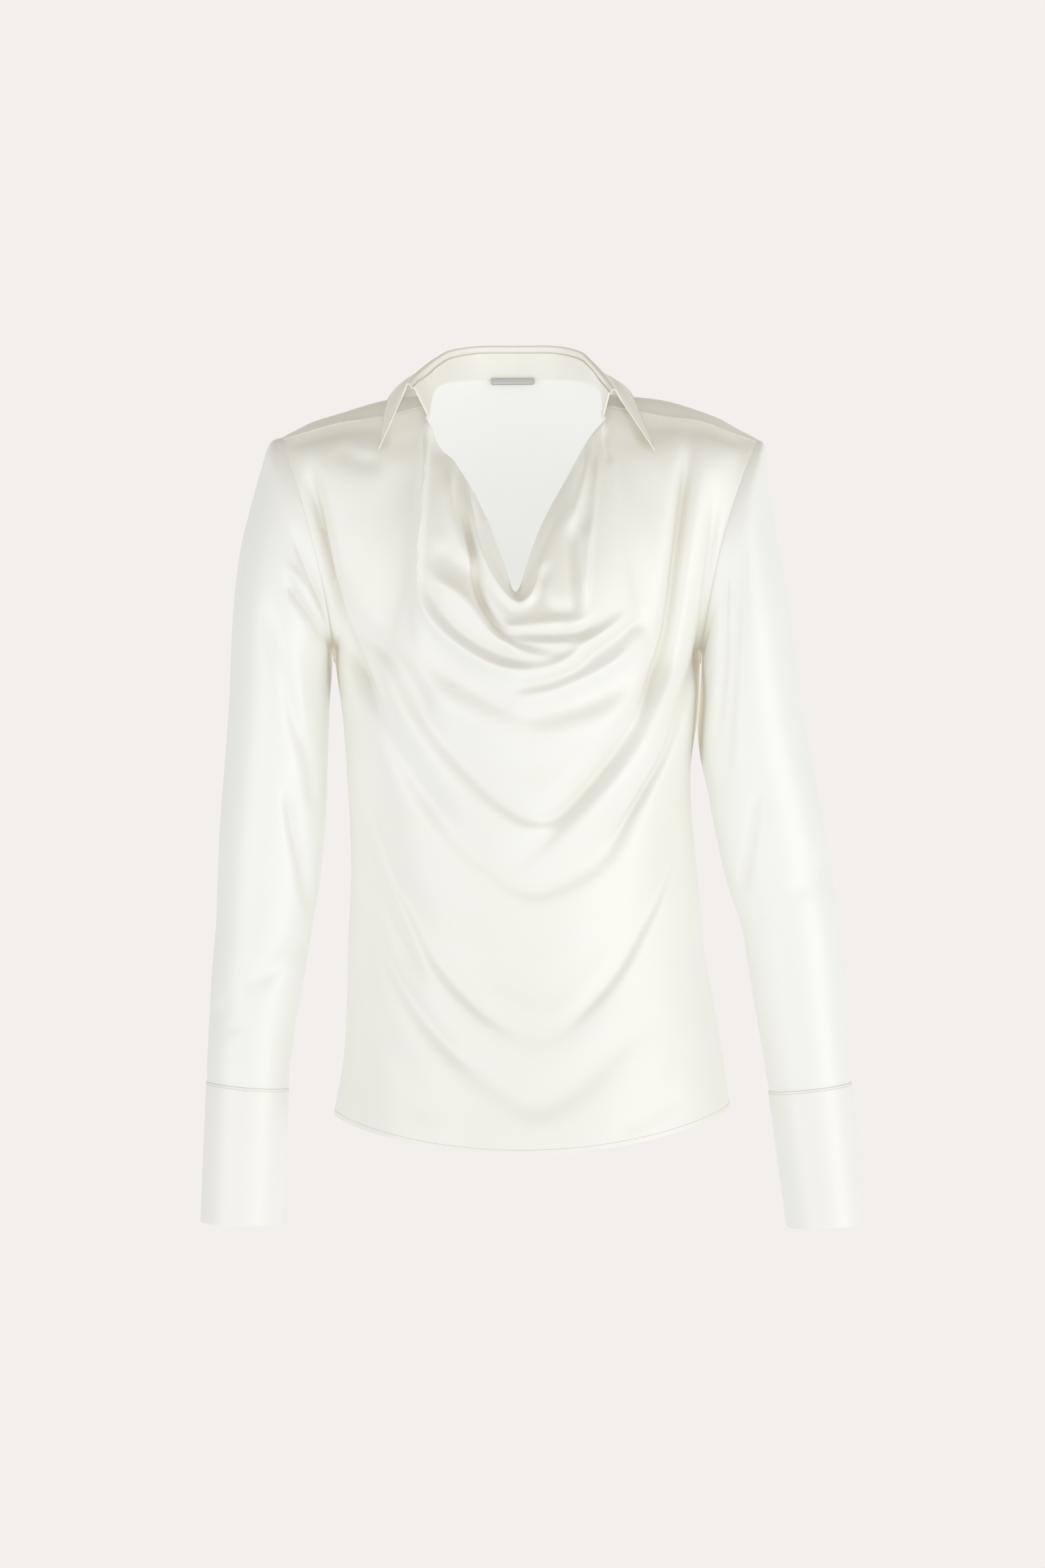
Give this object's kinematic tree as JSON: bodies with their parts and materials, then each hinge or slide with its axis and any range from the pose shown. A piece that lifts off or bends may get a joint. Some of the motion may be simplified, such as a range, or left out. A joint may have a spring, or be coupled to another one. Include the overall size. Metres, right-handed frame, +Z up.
{
  "type": "silk blouse",
  "caption": "Long-sleeved ivory silk satin blouse with a draped cowl front, a turned-out pointed collar and deep cuffs, filled out with no wearer.",
  "frame": {"origin": "between the shoulders, level with the sides of the neck and midway through the torso, where the wearer's shoulders hold the blouse", "axes": "+Z up; the front faces -Y; +X is towards the wearer's left sleeve"},
  "size_m": [0.5554, 0.2435, 0.7444],
  "materials": {
    "front_satin": "ivory silk satin, soft sheen",
    "back_satin": "ivory silk satin, soft sheen",
    "sleeve_satin": "ivory silk satin, soft sheen",
    "cuff_satin": "ivory silk satin, interlined",
    "collar_satin": "ivory silk satin, interlined",
    "label_metal": "brushed silver grey, bare"
  },
  "bodies": {
    "root": {"front": "front_satin", "back": "back_satin", "sleeve_right": "sleeve_satin", "sleeve_left": "sleeve_satin", "cuff_right": "cuff_satin", "cuff_left": "cuff_satin", "collar_stand": "collar_satin", "collar_fall": "collar_satin", "label": "label_metal"}
  },
  "joints": []
}
